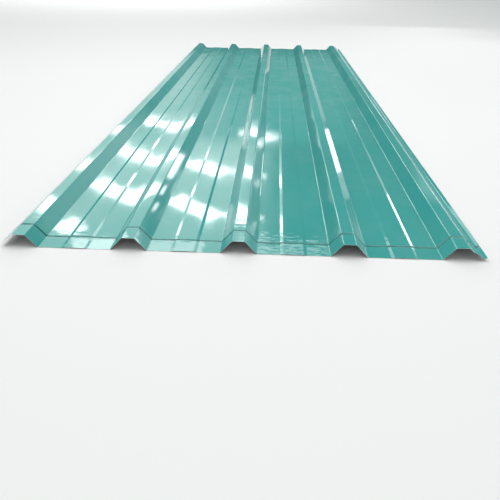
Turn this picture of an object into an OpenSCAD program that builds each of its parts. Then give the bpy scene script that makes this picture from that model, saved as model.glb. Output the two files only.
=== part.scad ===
// Corrugated metal sheet: one length of roll-formed box-profile roofing in coated steel.
// Millimetres. X across the ribs, Y along the sheet, Z up. The sheet lies flat on its pans.
// The creased end is at -Y. The plain edge is at -X and the edge with the drip lip is at +X.

/* [Sheet] */
// Length along the ribs
sheet_length = 3000; // [1500:10:6000]
// Thickness of the coated steel
steel_t = 0.5; // [0.35:0.05:1]
// Bend radius at the middle of the thickness
bend_r = 3; // [1.5:0.25:5]

/* [Ribs] */
// How many ribs there are
rib_count = 5; // [3:1:7]
// Spacing from rib to rib
rib_pitch = 210; // [170:1:260]
// Height from pan to crest
rib_h = 25; // [20:0.5:35]
// Width of the flat crest
crest_w = 24; // [18:0.5:32]
// Width of a rib at its foot
rib_foot_w = 70; // [56:0.5:84]

/* [Pans] */
// Spacing of the two low steps in each pan
step_spacing = 45; // [30:0.5:60]
// Width of one step
step_w = 6; // [4:0.5:10]
// How far the steps raise the middle of the pan
step_h = 1.2; // [0.8:0.1:2]

/* [Plain edge] */
// How far the plain edge runs out from the first crest
plain_run = 22; // [16:0.5:26]
// How far it drops below that crest
plain_drop = 17; // [12:0.5:19]

/* [Drip edge] */
// How far the upper leg runs out from the last crest
upper_leg_run = 8; // [6:0.5:12]
// How far the upper leg drops
upper_leg_drop = 7.5; // [5:0.5:9]
// How far the shelf below it runs out
shelf_run = 7; // [5:0.5:10]
// How far the shelf drops
shelf_drop = 2.5; // [1.5:0.5:3]
// How far the lower leg runs out
lower_leg_run = 13; // [9:0.5:16]
// How far the lower leg drops
lower_leg_drop = 10; // [7:0.5:11]
// How far the drip lip runs out
drip_lip_run = 7; // [5:0.5:10]
// How far the drip lip rises
drip_lip_rise = 2; // [1:0.5:4]

/* [End crease] */
// Distance of the pressed crease from the end of the sheet
crease_at = 50; // [30:1:90]
// Width of the crease
crease_w = 9; // [6:0.5:14]
// Depth of the crease
crease_depth = 1; // [0.5:0.1:1.5]

/* [Hidden] */
// Most turn in one facet of a bend, in degrees
bend_facet = 12;
// Facets across the crease
crease_facets = 6;
// Most of a flat that one bend may take up
bend_room_share = 0.45;

// Rib centres, counted from the middle of the ribs
rib_xs = [for (i = [0 : rib_count - 1]) (i - (rib_count - 1) / 2) * rib_pitch];
first_crest_x = rib_xs[0] - crest_w / 2;
last_crest_x = rib_xs[rib_count - 1] + crest_w / 2;

// Corners of one pan about its centre x, from the foot of one rib to the foot of the next
function pan_corners(x) = [
    [x - rib_pitch / 2 + rib_foot_w / 2, 0],
    [x - step_spacing / 2 - step_w / 2, 0],
    [x - step_spacing / 2 + step_w / 2, step_h],
    [x + step_spacing / 2 - step_w / 2, step_h],
    [x + step_spacing / 2 + step_w / 2, 0],
    [x + rib_pitch / 2 - rib_foot_w / 2, 0]
];

// Corners of one crest about its rib centre x
function crest_corners(x) = [[x - crest_w / 2, rib_h], [x + crest_w / 2, rib_h]];

plain_edge = [[first_crest_x - plain_run, rib_h - plain_drop]];

// Running out and down from the last crest
drip_x = last_crest_x + upper_leg_run;
drip_z = rib_h - upper_leg_drop;
trough_x = drip_x + shelf_run + lower_leg_run;
trough_z = drip_z - shelf_drop - lower_leg_drop;
drip_edge = [
    [drip_x, drip_z],
    [drip_x + shelf_run, drip_z - shelf_drop],
    [trough_x, trough_z],
    [trough_x + drip_lip_run, trough_z + drip_lip_rise]
];

// The whole section at the middle of the thickness, before its corners are bent round
corners = concat(
    plain_edge,
    [for (i = [0 : rib_count - 1]) each concat(
        crest_corners(rib_xs[i]),
        i < rib_count - 1 ? pan_corners(rib_xs[i] + rib_pitch / 2) : []
    )],
    drip_edge
);
last_corner = len(corners) - 1;

function unit(v) = v / norm(v);
function left_of(v) = [-v[1], v[0]];
function turned(v, a) = [v[0] * cos(a) - v[1] * sin(a), v[0] * sin(a) + v[1] * cos(a)];
function heading(i) = unit(corners[i + 1] - corners[i]);
function flat_length(i) = norm(corners[i + 1] - corners[i]);
function turn_between(a, b) = atan2(a[0] * b[1] - a[1] * b[0], a[0] * b[0] + a[1] * b[1]);

// One bend at corner i, drawn at a distance off the middle of the thickness
function bend(i, off) =
    let (
        d_in = heading(i - 1),
        turn = turn_between(d_in, heading(i)),
        way = sign(turn),
        half_tan = tan(abs(turn) / 2),
        room = bend_room_share * min(flat_length(i - 1), flat_length(i)),
        r = min(bend_r, room / half_tan),
        centre = corners[i] - d_in * r * half_tan + way * r * left_of(d_in),
        facets = ceil(abs(turn) / bend_facet)
    )
    [for (k = [0 : facets]) centre - (way * r - off) * turned(left_of(d_in), turn * k / facets)];

// One face of the section, from the plain edge to the drip lip
function face_line(off) = concat(
    [corners[0] + off * left_of(heading(0))],
    [for (i = [1 : last_corner - 1]) each bend(i, off)],
    [corners[last_corner] + off * left_of(heading(last_corner - 1))]
);

upper_line = face_line(steel_t / 2);
lower_line = face_line(-steel_t / 2);
line_points = len(upper_line);
section = concat(upper_line, lower_line);

// Sets the middle of the sheet over the origin and the lowest point of the crease at zero
section_xs = [for (p = section) p[0]];
section_zs = [for (p = section) p[1]];
mid_x = (min(section_xs) + max(section_xs)) / 2;
low_z = min(section_zs) - crease_depth;

// Places along the sheet where the section is set, each with how far it is pressed down
stations = concat(
    [[-sheet_length / 2, 0]],
    [for (k = [0 : crease_facets]) [
        -sheet_length / 2 + crease_at + crease_w * (k / crease_facets - 1 / 2),
        crease_depth * (1 - cos(360 * k / crease_facets)) / 2
    ]],
    [[sheet_length / 2, 0]]
);
spans = len(stations) - 1;

function upper_at(j, i) = j * len(section) + i;
function lower_at(j, i) = upper_at(j, i) + line_points;

sheet_points = [for (s = stations) each [for (p = section) [p[0] - mid_x, s[0], p[1] - s[1] - low_z]]];
upper_faces = [for (j = [0 : spans - 1]) each [for (i = [0 : line_points - 2])
    [upper_at(j, i), upper_at(j + 1, i), upper_at(j + 1, i + 1), upper_at(j, i + 1)]]];
lower_faces = [for (j = [0 : spans - 1]) each [for (i = [0 : line_points - 2])
    [lower_at(j, i), lower_at(j, i + 1), lower_at(j + 1, i + 1), lower_at(j + 1, i)]]];
creased_end = [for (i = [0 : line_points - 2])
    [upper_at(0, i), upper_at(0, i + 1), lower_at(0, i + 1), lower_at(0, i)]];
plain_end = [for (i = [0 : line_points - 2])
    [upper_at(spans, i), lower_at(spans, i), lower_at(spans, i + 1), upper_at(spans, i + 1)]];
plain_side = [for (j = [0 : spans - 1])
    [upper_at(j + 1, 0), upper_at(j, 0), lower_at(j, 0), lower_at(j + 1, 0)]];
last_point = line_points - 1;
drip_side = [for (j = [0 : spans - 1])
    [upper_at(j, last_point), upper_at(j + 1, last_point), lower_at(j + 1, last_point), lower_at(j, last_point)]];

// The sheet, one solid rolled from one strip
module corrugated_sheet() {
    color([0.27, 0.62, 0.60])
        polyhedron(
            points = sheet_points,
            faces = concat(upper_faces, lower_faces, creased_end, plain_end, plain_side, drip_side)
        );
}

corrugated_sheet();
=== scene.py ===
"""Dresses the corrugated sheet: round bends, slightly wavy pans, gloss coat, backing coat and cut edges."""
import math
import random
from collections import namedtuple

import bpy
from mathutils import Matrix, Vector


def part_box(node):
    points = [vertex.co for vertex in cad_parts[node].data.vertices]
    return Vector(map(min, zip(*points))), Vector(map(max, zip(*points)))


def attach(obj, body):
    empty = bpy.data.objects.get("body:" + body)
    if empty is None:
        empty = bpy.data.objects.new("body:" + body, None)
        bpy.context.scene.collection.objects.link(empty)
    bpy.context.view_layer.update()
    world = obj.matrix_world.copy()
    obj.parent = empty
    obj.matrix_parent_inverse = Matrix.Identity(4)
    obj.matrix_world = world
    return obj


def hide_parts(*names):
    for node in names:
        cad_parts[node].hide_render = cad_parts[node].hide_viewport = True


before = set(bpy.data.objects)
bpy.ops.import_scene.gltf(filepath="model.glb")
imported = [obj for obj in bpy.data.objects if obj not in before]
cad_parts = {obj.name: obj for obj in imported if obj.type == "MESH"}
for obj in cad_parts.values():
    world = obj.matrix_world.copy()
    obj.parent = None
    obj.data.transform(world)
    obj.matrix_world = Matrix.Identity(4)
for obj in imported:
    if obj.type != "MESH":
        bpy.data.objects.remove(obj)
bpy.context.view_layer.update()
NODE = "corrugated_sheet"
LOW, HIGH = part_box(NODE)

# The section, in metres, as the part's source has it
STEEL_T = 0.0005
BEND_R = 0.003
RIB_COUNT = 5
RIB_PITCH = 0.210
RIB_H = 0.025
CREST_W = 0.024
RIB_FOOT_W = 0.070
STEP_SPACING = 0.045
STEP_W = 0.006
STEP_H = 0.0012
PLAIN_RUN, PLAIN_DROP = 0.022, 0.017
UPPER_LEG_RUN, UPPER_LEG_DROP = 0.008, 0.0075
SHELF_RUN, SHELF_DROP = 0.007, 0.0025
LOWER_LEG_RUN, LOWER_LEG_DROP = 0.013, 0.010
DRIP_LIP_RUN, DRIP_LIP_RISE = 0.007, 0.002
CREASE_AT = 0.050
CREASE_W = 0.009
CREASE_DEPTH = 0.001

# How finely the sheet is drawn
BEND_FACET = math.radians(9)
BEND_ROOM_SHARE = 0.45
FLAT_SPAN = 0.007
CREASE_SPANS = 12
END_SPAN = 0.012
LENGTH_SPAN = 0.026
# Two faces that meet at more than this angle meet at a sharp edge
SHARP_ANGLE = math.radians(40)

# How far the cut end droops before the crease
END_DROOP = 0.0008

# Waviness left in the flats by rolling: height in the widest flat, and the lengths of its waves
WAVE_HEIGHT = 0.00016
WAVE_LENGTHS = 0.23, 0.37, 0.61
WIDEST_FLAT = 0.045
NARROWEST_WAVY_FLAT = 0.015
# A wavy flat's normal leans sideways by less than this
NEARLY_LEVEL = 0.05
# Each flat adds its own number to this seed
WAVE_SEED = 11000

# Material slots of the sheet
COATED, BACKED, CUT = range(3)

Sample = namedtuple("Sample", "place normal flat share")


def pan_corners(x):
    """Corners of one pan about its centre x, from the foot of one rib to the foot of the next."""
    half = (RIB_PITCH - RIB_FOOT_W) / 2
    outer = (STEP_SPACING + STEP_W) / 2
    inner = (STEP_SPACING - STEP_W) / 2
    left = [(x - half, 0), (x - outer, 0), (x - inner, STEP_H)]
    right = [(x + inner, STEP_H), (x + outer, 0), (x + half, 0)]
    return left + right


def section_corners():
    """Corners of the section at the middle of the thickness, from the plain edge to the drip lip."""
    ribs = [(i - (RIB_COUNT - 1) / 2) * RIB_PITCH for i in range(RIB_COUNT)]
    corners = [(ribs[0] - CREST_W / 2 - PLAIN_RUN, RIB_H - PLAIN_DROP)]
    for i, x in enumerate(ribs):
        corners += [(x - CREST_W / 2, RIB_H), (x + CREST_W / 2, RIB_H)]
        if i < RIB_COUNT - 1:
            corners += pan_corners(x + RIB_PITCH / 2)
    edge = Vector(corners[-1])
    for run, rise in (
        (UPPER_LEG_RUN, -UPPER_LEG_DROP),
        (SHELF_RUN, -SHELF_DROP),
        (LOWER_LEG_RUN, -LOWER_LEG_DROP),
        (DRIP_LIP_RUN, DRIP_LIP_RISE),
    ):
        edge = edge + Vector((run, rise))
        corners.append(tuple(edge))
    return [Vector(c) for c in corners]


def left_of(v):
    return Vector((-v.y, v.x))


def bend(before, corner, after):
    """The round of one corner, as samples along the middle of the thickness."""
    way_in = (corner - before).normalized()
    way_out = (after - corner).normalized()
    turn = math.atan2(way_in.x * way_out.y - way_in.y * way_out.x, way_in.dot(way_out))
    half_tan = math.tan(abs(turn) / 2)
    room = BEND_ROOM_SHARE * min((corner - before).length, (after - corner).length)
    r = math.copysign(min(BEND_R, room / half_tan), turn)
    centre = corner - way_in * abs(r) * half_tan + left_of(way_in) * r
    facets = math.ceil(abs(turn) / BEND_FACET)
    samples = []
    for k in range(facets + 1):
        normal = Matrix.Rotation(turn * k / facets, 2) @ left_of(way_in)
        samples.append(Sample(centre - normal * r, normal, None, 0))
    return samples


def section_samples():
    """The whole section: rounds at the corners, and the flats between them in short spans."""
    corners = section_corners()
    last = len(corners) - 1
    rounds = {i: bend(*corners[i - 1 : i + 2]) for i in range(1, last)}
    samples = []
    for i in range(last):
        normal = left_of((corners[i + 1] - corners[i]).normalized())
        start = rounds[i][-1].place if i else corners[0]
        end = rounds[i + 1][0].place if i + 1 < last else corners[last]
        width = (end - start).length
        spans = max(1, round(width / FLAT_SPAN))
        wavy = abs(normal.x) < NEARLY_LEVEL and width > NARROWEST_WAVY_FLAT
        flat = (i, width) if wavy else None
        first = 0 if i == 0 else 1
        beyond = spans + 1 if i + 1 == last else spans
        for k in range(first, beyond):
            samples.append(Sample(start.lerp(end, k / spans), normal, flat, k / spans))
        samples += rounds.get(i + 1, [])
    return samples


def stations():
    """Places along the sheet, close together at the crease and wider apart beyond it."""
    front, back = LOW.y, HIGH.y
    crease_start = front + CREASE_AT - CREASE_W / 2
    crease_end = crease_start + CREASE_W
    places = [front]
    for start, end, span in (
        (front, crease_start, END_SPAN),
        (crease_start, crease_end, CREASE_W / CREASE_SPANS),
        (crease_end, back, LENGTH_SPAN),
    ):
        spans = max(1, round((end - start) / span))
        places += [start + (end - start) * k / spans for k in range(1, spans + 1)]
    return places


def pressed(y):
    """How far the crease is pressed down at y."""
    off = (y - LOW.y - CREASE_AT) / CREASE_W
    return CREASE_DEPTH * (1 + math.cos(2 * math.pi * off)) / 2 if abs(off) < 0.5 else 0.0


def drooped(y):
    """How far the strip before the crease hangs down at y."""
    return END_DROOP * max(0, 1 - (y - LOW.y) / CREASE_AT)


def wave(flat, share, y):
    """Height of the waviness in one flat, none at its edges."""
    index, width = flat
    draw = random.Random(WAVE_SEED + index)
    height = WAVE_HEIGHT * (width / WIDEST_FLAT) ** 2 * math.sin(math.pi * share)
    turns = [math.sin(2 * math.pi * (y / length + draw.random())) for length in WAVE_LENGTHS]
    return height * sum(turns) / len(turns)


def sheet_mesh(name):
    """The sheet as one closed mesh: coated face, backed face and cut edges."""
    samples = section_samples()
    places = stations()
    count = len(samples)
    lift = LOW.z + CREASE_DEPTH + STEEL_T / 2
    faces_of_strip = STEEL_T / 2, -STEEL_T / 2
    xs = [(s.place + s.normal * off).x for s in samples for off in faces_of_strip]
    shift = (LOW.x + HIGH.x) / 2 - (min(xs) + max(xs)) / 2
    points = []
    for y in places:
        for off in faces_of_strip:
            for s in samples:
                at = s.place + s.normal * off
                height = at.y - pressed(y) - drooped(y) + (wave(s.flat, s.share, y) if s.flat else 0)
                points.append((at.x + shift, y, height + lift))

    def upper(j, i):
        return 2 * count * j + i

    def lower(j, i):
        return upper(j, i) + count

    faces, slots = [], []
    end, side = len(places) - 1, count - 1
    for j in range(end):
        for i in range(side):
            faces.append((upper(j, i), upper(j, i + 1), upper(j + 1, i + 1), upper(j + 1, i)))
            faces.append((lower(j, i), lower(j + 1, i), lower(j + 1, i + 1), lower(j, i + 1)))
            slots += [COATED, BACKED]
        faces.append((upper(j, 0), upper(j + 1, 0), lower(j + 1, 0), lower(j, 0)))
        faces.append((upper(j, side), lower(j, side), lower(j + 1, side), upper(j + 1, side)))
        slots += [CUT, CUT]
    for i in range(side):
        faces.append((upper(0, i), lower(0, i), lower(0, i + 1), upper(0, i + 1)))
        faces.append((upper(end, i), upper(end, i + 1), lower(end, i + 1), lower(end, i)))
        slots += [CUT, CUT]
    mesh = bpy.data.meshes.new(name)
    mesh.from_pydata(points, [], faces)
    mesh.polygons.foreach_set("material_index", slots)
    mesh.polygons.foreach_set("use_smooth", [True] * len(faces))
    mesh.set_sharp_from_angle(angle=SHARP_ANGLE)
    mesh.update()
    return mesh


# One noise: its scale to the metre, where the coordinates aren't scaled, then detail and roughness
Noise = namedtuple("Noise", "scale detail roughness", defaults=(3.0, 0.5))

# Numbers of the mix node's colour sockets
MIX_FROM, MIX_TO, MIX_RESULT = 6, 7, 2


def new_material(name):
    """A node material, with its tree, its shader and the object's own coordinates."""
    material = bpy.data.materials.new(name)
    material.use_nodes = True
    tree = material.node_tree
    coordinates = tree.nodes.new("ShaderNodeTexCoord")
    return material, tree, tree.nodes["Principled BSDF"], coordinates.outputs["Object"]


def scaled(tree, vector, scales):
    node = tree.nodes.new("ShaderNodeMapping")
    node.inputs["Scale"].default_value = scales
    tree.links.new(vector, node.inputs["Vector"])
    return node.outputs["Vector"]


def noise(tree, vector, kind):
    node = tree.nodes.new("ShaderNodeTexNoise")
    for socket, number in zip(("Scale", "Detail", "Roughness"), kind):
        node.inputs[socket].default_value = number
    tree.links.new(vector, node.inputs["Vector"])
    return node.outputs["Fac"]


def ranged(tree, value, low, high, to_low, to_high, curve="LINEAR"):
    """Goes from to_low to to_high as the value goes from low to high."""
    node = tree.nodes.new("ShaderNodeMapRange")
    node.interpolation_type = curve
    for socket, number in zip(("From Min", "From Max", "To Min", "To Max"), (low, high, to_low, to_high)):
        node.inputs[socket].default_value = number
    tree.links.new(value, node.inputs["Value"])
    return node.outputs["Result"]


def calculated(tree, operation, a, b=0):
    """The result of one sum, where a and b are each a number or a socket."""
    node = tree.nodes.new("ShaderNodeMath")
    node.operation = operation
    for socket, value in zip(node.inputs, (a, b)):
        if isinstance(value, (int, float)):
            socket.default_value = value
        else:
            tree.links.new(value, socket)
    return node.outputs["Value"]


def product(tree, a, b):
    return calculated(tree, "MULTIPLY", a, b)


def distance(tree, value, middle):
    """How far a value is from the middle, to either side."""
    return calculated(tree, "ABSOLUTE", calculated(tree, "SUBTRACT", value, middle))


def mixed(tree, share, a, b):
    """A colour between a and b, each a colour or a socket."""
    node = tree.nodes.new("ShaderNodeMix")
    node.data_type = "RGBA"
    tree.links.new(share, node.inputs["Factor"])
    for socket, colour in ((node.inputs[MIX_FROM], a), (node.inputs[MIX_TO], b)):
        if isinstance(colour, tuple):
            socket.default_value = (*colour, 1)
        else:
            tree.links.new(colour, socket)
    return node.outputs[MIX_RESULT]


def bumped(tree, height, depth, under=None):
    """The normal that a height times a depth gives, on top of another normal if there is one."""
    node = tree.nodes.new("ShaderNodeBump")
    node.inputs["Distance"].default_value = depth
    node.inputs["Strength"].default_value = 1.0
    tree.links.new(height, node.inputs["Height"])
    if under:
        tree.links.new(under, node.inputs["Normal"])
    return node.outputs["Normal"]


# The gloss coat drifts between two shades
TEAL = 0.057, 0.388, 0.366
TEAL_DEEP = 0.051, 0.366, 0.345
DRIFT = Noise(1.7)
DRIFT_RANGE = 0.3, 0.7

# Smears of dust, which dull the gloss. They are fewest near the crease, and grow between two places along
# the sheet, in metres from its middle.
DUST = 0.30, 0.50, 0.48
SMEARS = Noise(1.0, 6.0, 0.62)
SMEAR_SCALES = 10.0, 6.0, 10.0
SMEAR_RANGE = 0.42, 0.72
SMEAR_COVER = 0.42
SMEARS_GROW_ALONG = -0.7, 0.5
SMEARS_GROW = 0.25, 1.0
GLOSS_RANGE = 0.35, 0.75
GLOSS_ROUGHNESS = 0.035, 0.08

# Painted shade that darkens the coat in the crease, with a little more roughness there: how far from its
# middle it starts and stops fading, and how patchy it is
CREASE_PAINTED_SHADE = 0.010, 0.135, 0.125
CREASE_SHADE_FADE = 0.0024, 0.0038
CREASE_SHADE_PATCHES = Noise(40.0)
CREASE_SHADE_PATCH_RANGE = 0.3, 0.6
CREASE_SHADE_COVER = 0.6, 1.0
CREASE_SHADE_ROUGHNESS = 0.08

# Fine orange peel, and ripples that fade beyond the crease and to both sides of the middle of one pan
PEEL = Noise(420.0, 2.0)
PEEL_HEIGHT = 0.0000015
RIPPLES = Noise(1.0, 1.5)
RIPPLE_SCALES = 45.0, 85.0, 45.0
RIPPLE_HEIGHT = 0.0007
RIPPLES_FADE_ALONG = 0.016, 0.080
RIPPLED_PAN = 0.1
RIPPLES_FADE_ACROSS = 0.05, 0.10
RIPPLES_ELSEWHERE = 0.25


def gloss_coat():
    """Teal stoved coat: slight shade drift, dust smears, painted shade darkening the crease, and ripples by
    it.
    """
    material, tree, shader, place = new_material("gloss_coat")
    split = tree.nodes.new("ShaderNodeSeparateXYZ")
    tree.links.new(place, split.inputs["Vector"])
    across, along = split.outputs["X"], split.outputs["Y"]
    crease = LOW.y + CREASE_AT

    drift = ranged(tree, noise(tree, place, DRIFT), *DRIFT_RANGE, 0, 1)
    shade = mixed(tree, drift, TEAL_DEEP, TEAL)
    smears = noise(tree, scaled(tree, place, SMEAR_SCALES), SMEARS)
    handled = ranged(tree, along, *SMEARS_GROW_ALONG, *SMEARS_GROW, "SMOOTHSTEP")
    film = product(tree, ranged(tree, smears, *SMEAR_RANGE, 0, SMEAR_COVER), handled)
    dusty = mixed(tree, film, shade, DUST)

    # Painted shade: a patchy dark band along the crease, mixed into the coat colour
    groove = ranged(tree, distance(tree, along, crease), *CREASE_SHADE_FADE, 1, 0)
    patchy = ranged(tree, noise(tree, place, CREASE_SHADE_PATCHES), *CREASE_SHADE_PATCH_RANGE, *CREASE_SHADE_COVER)
    crease_shade = product(tree, groove, patchy)
    tree.links.new(mixed(tree, crease_shade, dusty, CREASE_PAINTED_SHADE), shader.inputs["Base Color"])
    rough = ranged(tree, smears, *GLOSS_RANGE, *GLOSS_ROUGHNESS)
    rough = calculated(tree, "ADD", rough, product(tree, crease_shade, CREASE_SHADE_ROUGHNESS))
    tree.links.new(rough, shader.inputs["Roughness"])

    fade_from, fade_to = (crease + beyond for beyond in RIPPLES_FADE_ALONG)
    by_crease = ranged(tree, along, fade_from, fade_to, 1, 0, "SMOOTHSTEP")
    off_pan = distance(tree, across, RIPPLED_PAN)
    in_pan = ranged(tree, off_pan, *RIPPLES_FADE_ACROSS, 1, RIPPLES_ELSEWHERE)
    ripples = noise(tree, scaled(tree, place, RIPPLE_SCALES), RIPPLES)
    ripples = product(tree, ripples, product(tree, by_crease, in_pan))
    peel = bumped(tree, noise(tree, place, PEEL), PEEL_HEIGHT)
    tree.links.new(bumped(tree, ripples, RIPPLE_HEIGHT, peel), shader.inputs["Normal"])
    return material


BACKING = 0.50, 0.52, 0.50
BACKING_DULL = 0.40, 0.42, 0.41
BACKING_CLOUDS = Noise(9.0, 5.0)
BACKING_CLOUD_RANGE = 0.35, 0.65
BACKING_ROUGHNESS = 0.42, 0.6
BACKING_GRAIN = Noise(600.0, 2.0)
BACKING_GRAIN_HEIGHT = 0.00001


def backing_coat():
    """Thin grey service coat on the underside, matt and a little uneven."""
    material, tree, shader, place = new_material("backing_coat")
    cloud = ranged(tree, noise(tree, place, BACKING_CLOUDS), *BACKING_CLOUD_RANGE, 0, 1)
    tree.links.new(mixed(tree, cloud, BACKING_DULL, BACKING), shader.inputs["Base Color"])
    tree.links.new(ranged(tree, cloud, 0, 1, *BACKING_ROUGHNESS), shader.inputs["Roughness"])
    grain = noise(tree, place, BACKING_GRAIN)
    tree.links.new(bumped(tree, grain, BACKING_GRAIN_HEIGHT), shader.inputs["Normal"])
    return material


ZINC = 0.56, 0.57, 0.56
ZINC_STAIN = 0.30, 0.27, 0.23
STAINS = Noise(60.0, 6.0, 0.7)
STAIN_RANGE = 0.45, 0.7
CUT_ROUGHNESS = 0.35, 0.7
BURR = Noise(1500.0, 2.0)
BURR_SCALES = 1.0, 1.0, 0.1
BURR_HEIGHT = 0.00005


def cut_steel():
    """Sheared zinc and steel at the edges, with a little brown stain."""
    material, tree, shader, place = new_material("cut_steel")
    stain = ranged(tree, noise(tree, place, STAINS), *STAIN_RANGE, 0, 1)
    tree.links.new(mixed(tree, stain, ZINC, ZINC_STAIN), shader.inputs["Base Color"])
    tree.links.new(ranged(tree, stain, 0, 1, *CUT_ROUGHNESS), shader.inputs["Roughness"])
    shader.inputs["Metallic"].default_value = 1.0
    burr = noise(tree, scaled(tree, place, BURR_SCALES), BURR)
    tree.links.new(bumped(tree, burr, BURR_HEIGHT), shader.inputs["Normal"])
    return material


def build_sheet():
    """The finished sheet, which stands for the plain solid."""
    mesh = sheet_mesh("roofing_sheet")
    for material in (gloss_coat(), backing_coat(), cut_steel()):
        mesh.materials.append(material)
    sheet = bpy.data.objects.new("roofing_sheet", mesh)
    bpy.context.scene.collection.objects.link(sheet)
    flats = sheet.modifiers.new("flats_stay_flat", "WEIGHTED_NORMAL")
    flats.keep_sharp = True
    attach(sheet, "root")
    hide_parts(NODE)


FLOOR_SIZE = 80.0
FLOOR_PALE = 0.92, 0.92, 0.92
FLOOR_GREY = 0.89, 0.89, 0.89
FLOOR_CLOUDS = Noise(0.8, 4.0)
FLOOR_ROUGHNESS = 0.8


def build_floor():
    """A plain pale floor at the lowest level of the part."""
    half = FLOOR_SIZE / 2
    corners = [(-half, -half, 0), (half, -half, 0), (half, half, 0), (-half, half, 0)]
    mesh = bpy.data.meshes.new("floor")
    mesh.from_pydata(corners, [], [(0, 1, 2, 3)])
    material, tree, shader, place = new_material("pale_floor")
    cloud = noise(tree, place, FLOOR_CLOUDS)
    tree.links.new(mixed(tree, cloud, FLOOR_GREY, FLOOR_PALE), shader.inputs["Base Color"])
    shader.inputs["Roughness"].default_value = FLOOR_ROUGHNESS
    mesh.materials.append(material)
    floor = bpy.data.objects.new("floor", mesh)
    floor.location.z = LOW.z
    bpy.context.scene.collection.objects.link(floor)


# The camera, from the photograph: place in metres, and angles in degrees
CAMERA_PLACE = 0.0511, -2.5057, 0.4968
CAMERA_YAW = -2.01
CAMERA_PITCH = 25.87
CAMERA_ROLL = -0.92
CAMERA_SENSOR = 36.0
CAMERA_FOCAL_SHARE = 1.1834
CAMERA_SEES_TO = 200.0


def build_camera():
    """Looks along the ribs from the creased end, and down on the pans."""
    yaw, pitch, roll = (math.radians(a) for a in (CAMERA_YAW, CAMERA_PITCH, CAMERA_ROLL))
    ahead = Vector((math.sin(yaw) * math.cos(pitch), math.cos(yaw) * math.cos(pitch), -math.sin(pitch)))
    level = Vector((math.cos(yaw), -math.sin(yaw), 0))
    down = ahead.cross(level)
    right = level * math.cos(roll) + down * math.sin(roll)
    up = level * math.sin(roll) - down * math.cos(roll)
    lens = bpy.data.cameras.new("camera")
    lens.sensor_width = CAMERA_SENSOR
    lens.lens = CAMERA_SENSOR * CAMERA_FOCAL_SHARE
    lens.clip_end = CAMERA_SEES_TO
    camera = bpy.data.objects.new("camera", lens)
    turn = Matrix((right, up, -ahead)).transposed().to_4x4()
    camera.matrix_world = Matrix.Translation(CAMERA_PLACE) @ turn
    bpy.context.scene.collection.objects.link(camera)
    bpy.context.scene.camera = camera


def softbox(name, place, aim, size, glow):
    """A rectangular lamp that faces a point. Its glow is how bright its face looks, where 1 is white."""
    lamp = bpy.data.lights.new(name, "AREA")
    lamp.shape = "RECTANGLE"
    lamp.size, lamp.size_y = size
    lamp.energy = glow * math.pi * size[0] * size[1]
    light = bpy.data.objects.new(name, lamp)
    light.location = place
    light.rotation_euler = (Vector(aim) - Vector(place)).to_track_quat("-Z", "Y").to_euler()
    light.visible_camera = False
    bpy.context.scene.collection.objects.link(light)
    return light


# Lamps near the sheet: place, the point that each faces, size and glow
NEAR_LAMPS = {
    "overhead": ((0.0, -0.4, 3.6), (0.0, 0.0, 0.0), (4.0, 5.0), 1.45),
    "side": ((1.73, 2.28, 1.10), (0.337, -1.3, 0.0), (0.5, 0.4), 5.0),
}

# Ceiling panels beyond the far end: place across, set-back from the row, and length of each
PANEL_HEIGHT = 3.0
PANEL_TURN = math.radians(-42)
PANEL_DEPTH = 0.42
PANEL_GLOW = 8.0
PANELS = {
    "outer": (-3.48, -0.33, 0.6),
    "left": (-2.55, 0.41, 1.35),
    "inner": (-1.93, 0.45, 0.45),
    "middle": (-1.15, -0.23, 1.05),
    "right": (-0.36, -0.52, 0.6),
    "far_right": (-0.27, -0.33, 0.95),
    "short": (-2.87, 0.3, 0.45),
}
# How far along each row hangs, and which panels it has
PANEL_ROWS = (
    (11.0, ("outer", "left", "inner", "far_right")),
    (8.4, ("outer", "left", "inner", "middle", "right")),
    (6.4, ("outer", "left", "inner", "middle", "right")),
    (5.0, ("short",)),
)

# Slanting strips beyond the far end: place across, height, length, breadth and glow
STRIPS_AT = 3.3
STRIP_TILT = math.radians(24)
STRIPS = (
    (0.81, 0.255, 0.66, 0.13, 0.42),
    (1.39, 0.525, 0.46, 0.12, 6.0),
    (1.74, 0.69, 0.30, 0.10, 0.9),
    (1.268, 0.64, 0.29, 0.08, 6.0),
    (1.542, 0.753, 0.11, 0.04, 6.0),
    (1.744, 0.831, 0.11, 0.04, 6.0),
)

# Small lamps far beyond the far end: azimuth, elevation, width and height in degrees, and glow.
# Azimuth is from +Y towards +X.
LAMP_DISTANCE = 40.0
LAMPS = (
    (-12.05, 3.15, 2.5, 0.9, 1.2),
    (-14.65, 3.75, 2.7, 1.1, 1.6),
    (-18.75, 4.8, 5.5, 1.5, 0.6),
    (-23.5, 5.85, 4.0, 1.5, 1.6),
    (24.0, 0.95, 31.0, 1.7, 0.7),
    (-18.8, 28.2, 5.0, 5.0, 4.0),
    (-10.6, 29.2, 5.6, 5.2, 2.4),
    (1.7, 29.4, 9.4, 5.2, 1.9),
)


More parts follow.
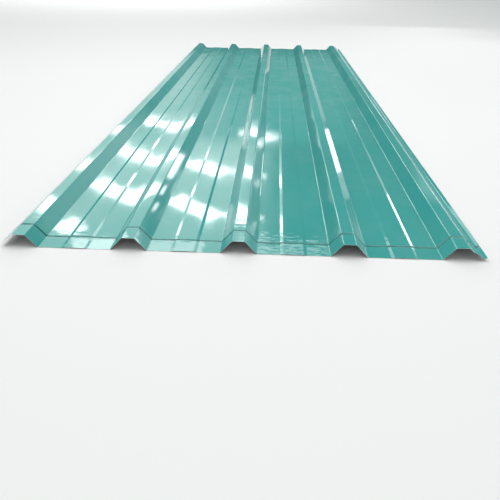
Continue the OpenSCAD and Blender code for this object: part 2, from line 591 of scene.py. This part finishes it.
def build_lights():
    """Two lamps near the sheet, then ceiling panels, slanting strips and small lamps beyond the far end."""
    for name, lamp in NEAR_LAMPS.items():
        softbox(name, *lamp)
    for row, (along, names) in enumerate(PANEL_ROWS, 1):
        for name in names:
            across, back, length = PANELS[name]
            place = Vector((across, along + back, PANEL_HEIGHT))
            panel = softbox(f"panel_{row}_{name}", place, place, (length, PANEL_DEPTH), PANEL_GLOW)
            panel.rotation_euler = (0, 0, PANEL_TURN)
    for number, (across, height, length, breadth, glow) in enumerate(STRIPS, 1):
        place = Vector((across, STRIPS_AT, height))
        strip = softbox(f"strip_{number}", place, place, (length, breadth), glow)
        strip.rotation_euler = (-math.pi / 2, -STRIP_TILT, 0)
    middle = Vector((0, LOW.y / 2, 0))
    for number, (azimuth, elevation, width, height, glow) in enumerate(LAMPS, 1):
        az, el = math.radians(azimuth), math.radians(elevation)
        way = Vector((math.sin(az) * math.cos(el), math.cos(az) * math.cos(el), math.sin(el)))
        size = [LAMP_DISTANCE * math.radians(angle) for angle in (width, height)]
        softbox(f"lamp_{number}", middle + way * LAMP_DISTANCE, middle, size, glow)


ROOM = 0.40, 0.41, 0.41
CEILING = 0.55, 0.55, 0.55
WALL_DIM = 0.13, 0.19, 0.17
WALL_DARK = 0.07, 0.19, 0.18
WALL_COOL = 0.20, 0.42, 0.39
WALL_MID = 0.45, 0.64, 0.61
WALL_SIDE = 0.95, 1.10, 1.05
WALL_PALE = 0.90, 1.06, 1.00
WALL_BRIGHT = 1.45, 1.60, 1.50
FOOT_SIDE = 0.24, 0.45, 0.44

# The wall beyond the far end: its sides, and its patches from the lowest layer up.
# A patch has a colour, azimuths, elevations and softness of the edges. All angles here are in degrees.
WALL_SIDES = -65, 65
WALL_SIDES_SOFT = 20
Patch = namedtuple("Patch", "colour azimuths elevations soft_sides soft_ends")
FAR_WALL = (
    Patch(WALL_COOL, (-70, 70), (-90, 15.5), 1, 1.5),
    Patch(WALL_DIM, (7, 12.5), (9.5, 17), 6, 4),
    Patch(WALL_SIDE, (14.8, 70), (10, 19.5), 3.5, 2),
    Patch(WALL_MID, (-10, -2), (11.5, 17), 6, 4),
    Patch(WALL_PALE, (-70, -7), (6.8, 17), 6, 2),
    Patch(WALL_BRIGHT, (-70, -1), (15.5, 40), 6, 2),
)
# The dark foot of that wall: its top, how far it rises to the left, where it starts and stops rising,
# and where it ends. A paler patch follows it to the right.
FOOT_TOP, FOOT_TOP_SOFT = 7.5, 0.9
FOOT_RISE = 9.3
FOOT_RISES_FROM, FOOT_RISES_TO = -11.3, -26.3
FOOT_ENDS_AT, FOOT_END_SOFT = 8.0, 3
FAR_FOOT = (Patch(FOOT_SIDE, (8.5, 70), (-90, 9.8), 3, 0.8),)
# Where the walls turn into the ceiling
CEILING_FROM, CEILING_SOFT = 41, 10


def by_angle(tree, angle, middle, soft, low, high):
    """Goes from low to high about the middle angle. Middle and soft are in degrees."""
    start, end = math.radians(middle - soft / 2), math.radians(middle + soft / 2)
    return ranged(tree, angle, start, end, low, high, "SMOOTHSTEP")


def within(tree, angle, limits, soft):
    """1 between two angles and 0 outside them."""
    rising = by_angle(tree, angle, limits[0], soft, 0, 1)
    return product(tree, rising, by_angle(tree, angle, limits[1], soft, 1, 0))


def patched(tree, wall, patches, azimuth, elevation):
    """Lays patches over a wall, one after another."""
    for patch in patches:
        across = within(tree, azimuth, patch.azimuths, patch.soft_sides)
        up = within(tree, elevation, patch.elevations, patch.soft_ends)
        wall = mixed(tree, product(tree, across, up), wall, patch.colour)
    return wall


def build_world():
    """A plain room. Its wall beyond the far end is bright on the left, dim on the right and dark below."""
    world = bpy.data.worlds.new("room")
    world.use_nodes = True
    tree = world.node_tree
    split = tree.nodes.new("ShaderNodeSeparateXYZ")
    tree.links.new(tree.nodes.new("ShaderNodeTexCoord").outputs["Generated"], split.inputs["Vector"])
    azimuth = calculated(tree, "ARCTAN2", split.outputs["X"], split.outputs["Y"])
    elevation = calculated(tree, "ARCSINE", split.outputs["Z"])

    rise_from, rise_to, most_rise = (math.radians(a) for a in (FOOT_RISES_FROM, FOOT_RISES_TO, FOOT_RISE))
    rise = ranged(tree, azimuth, rise_to, rise_from, most_rise, 0)
    foot = by_angle(tree, calculated(tree, "SUBTRACT", elevation, rise), FOOT_TOP, FOOT_TOP_SOFT, 1, 0)
    foot = product(tree, foot, by_angle(tree, azimuth, FOOT_ENDS_AT, FOOT_END_SOFT, 1, 0))
    wall = patched(tree, WALL_DIM, FAR_WALL, azimuth, elevation)
    wall = patched(tree, mixed(tree, foot, wall, WALL_DARK), FAR_FOOT, azimuth, elevation)
    walls = mixed(tree, within(tree, azimuth, WALL_SIDES, WALL_SIDES_SOFT), ROOM, wall)
    ceiling = by_angle(tree, elevation, CEILING_FROM, CEILING_SOFT, 0, 1)
    tree.links.new(mixed(tree, ceiling, walls, CEILING), tree.nodes["Background"].inputs["Color"])
    bpy.context.scene.world = world


build_camera()
build_sheet()
build_floor()
build_lights()
build_world()
bpy.context.scene.view_settings.view_transform = "Standard"
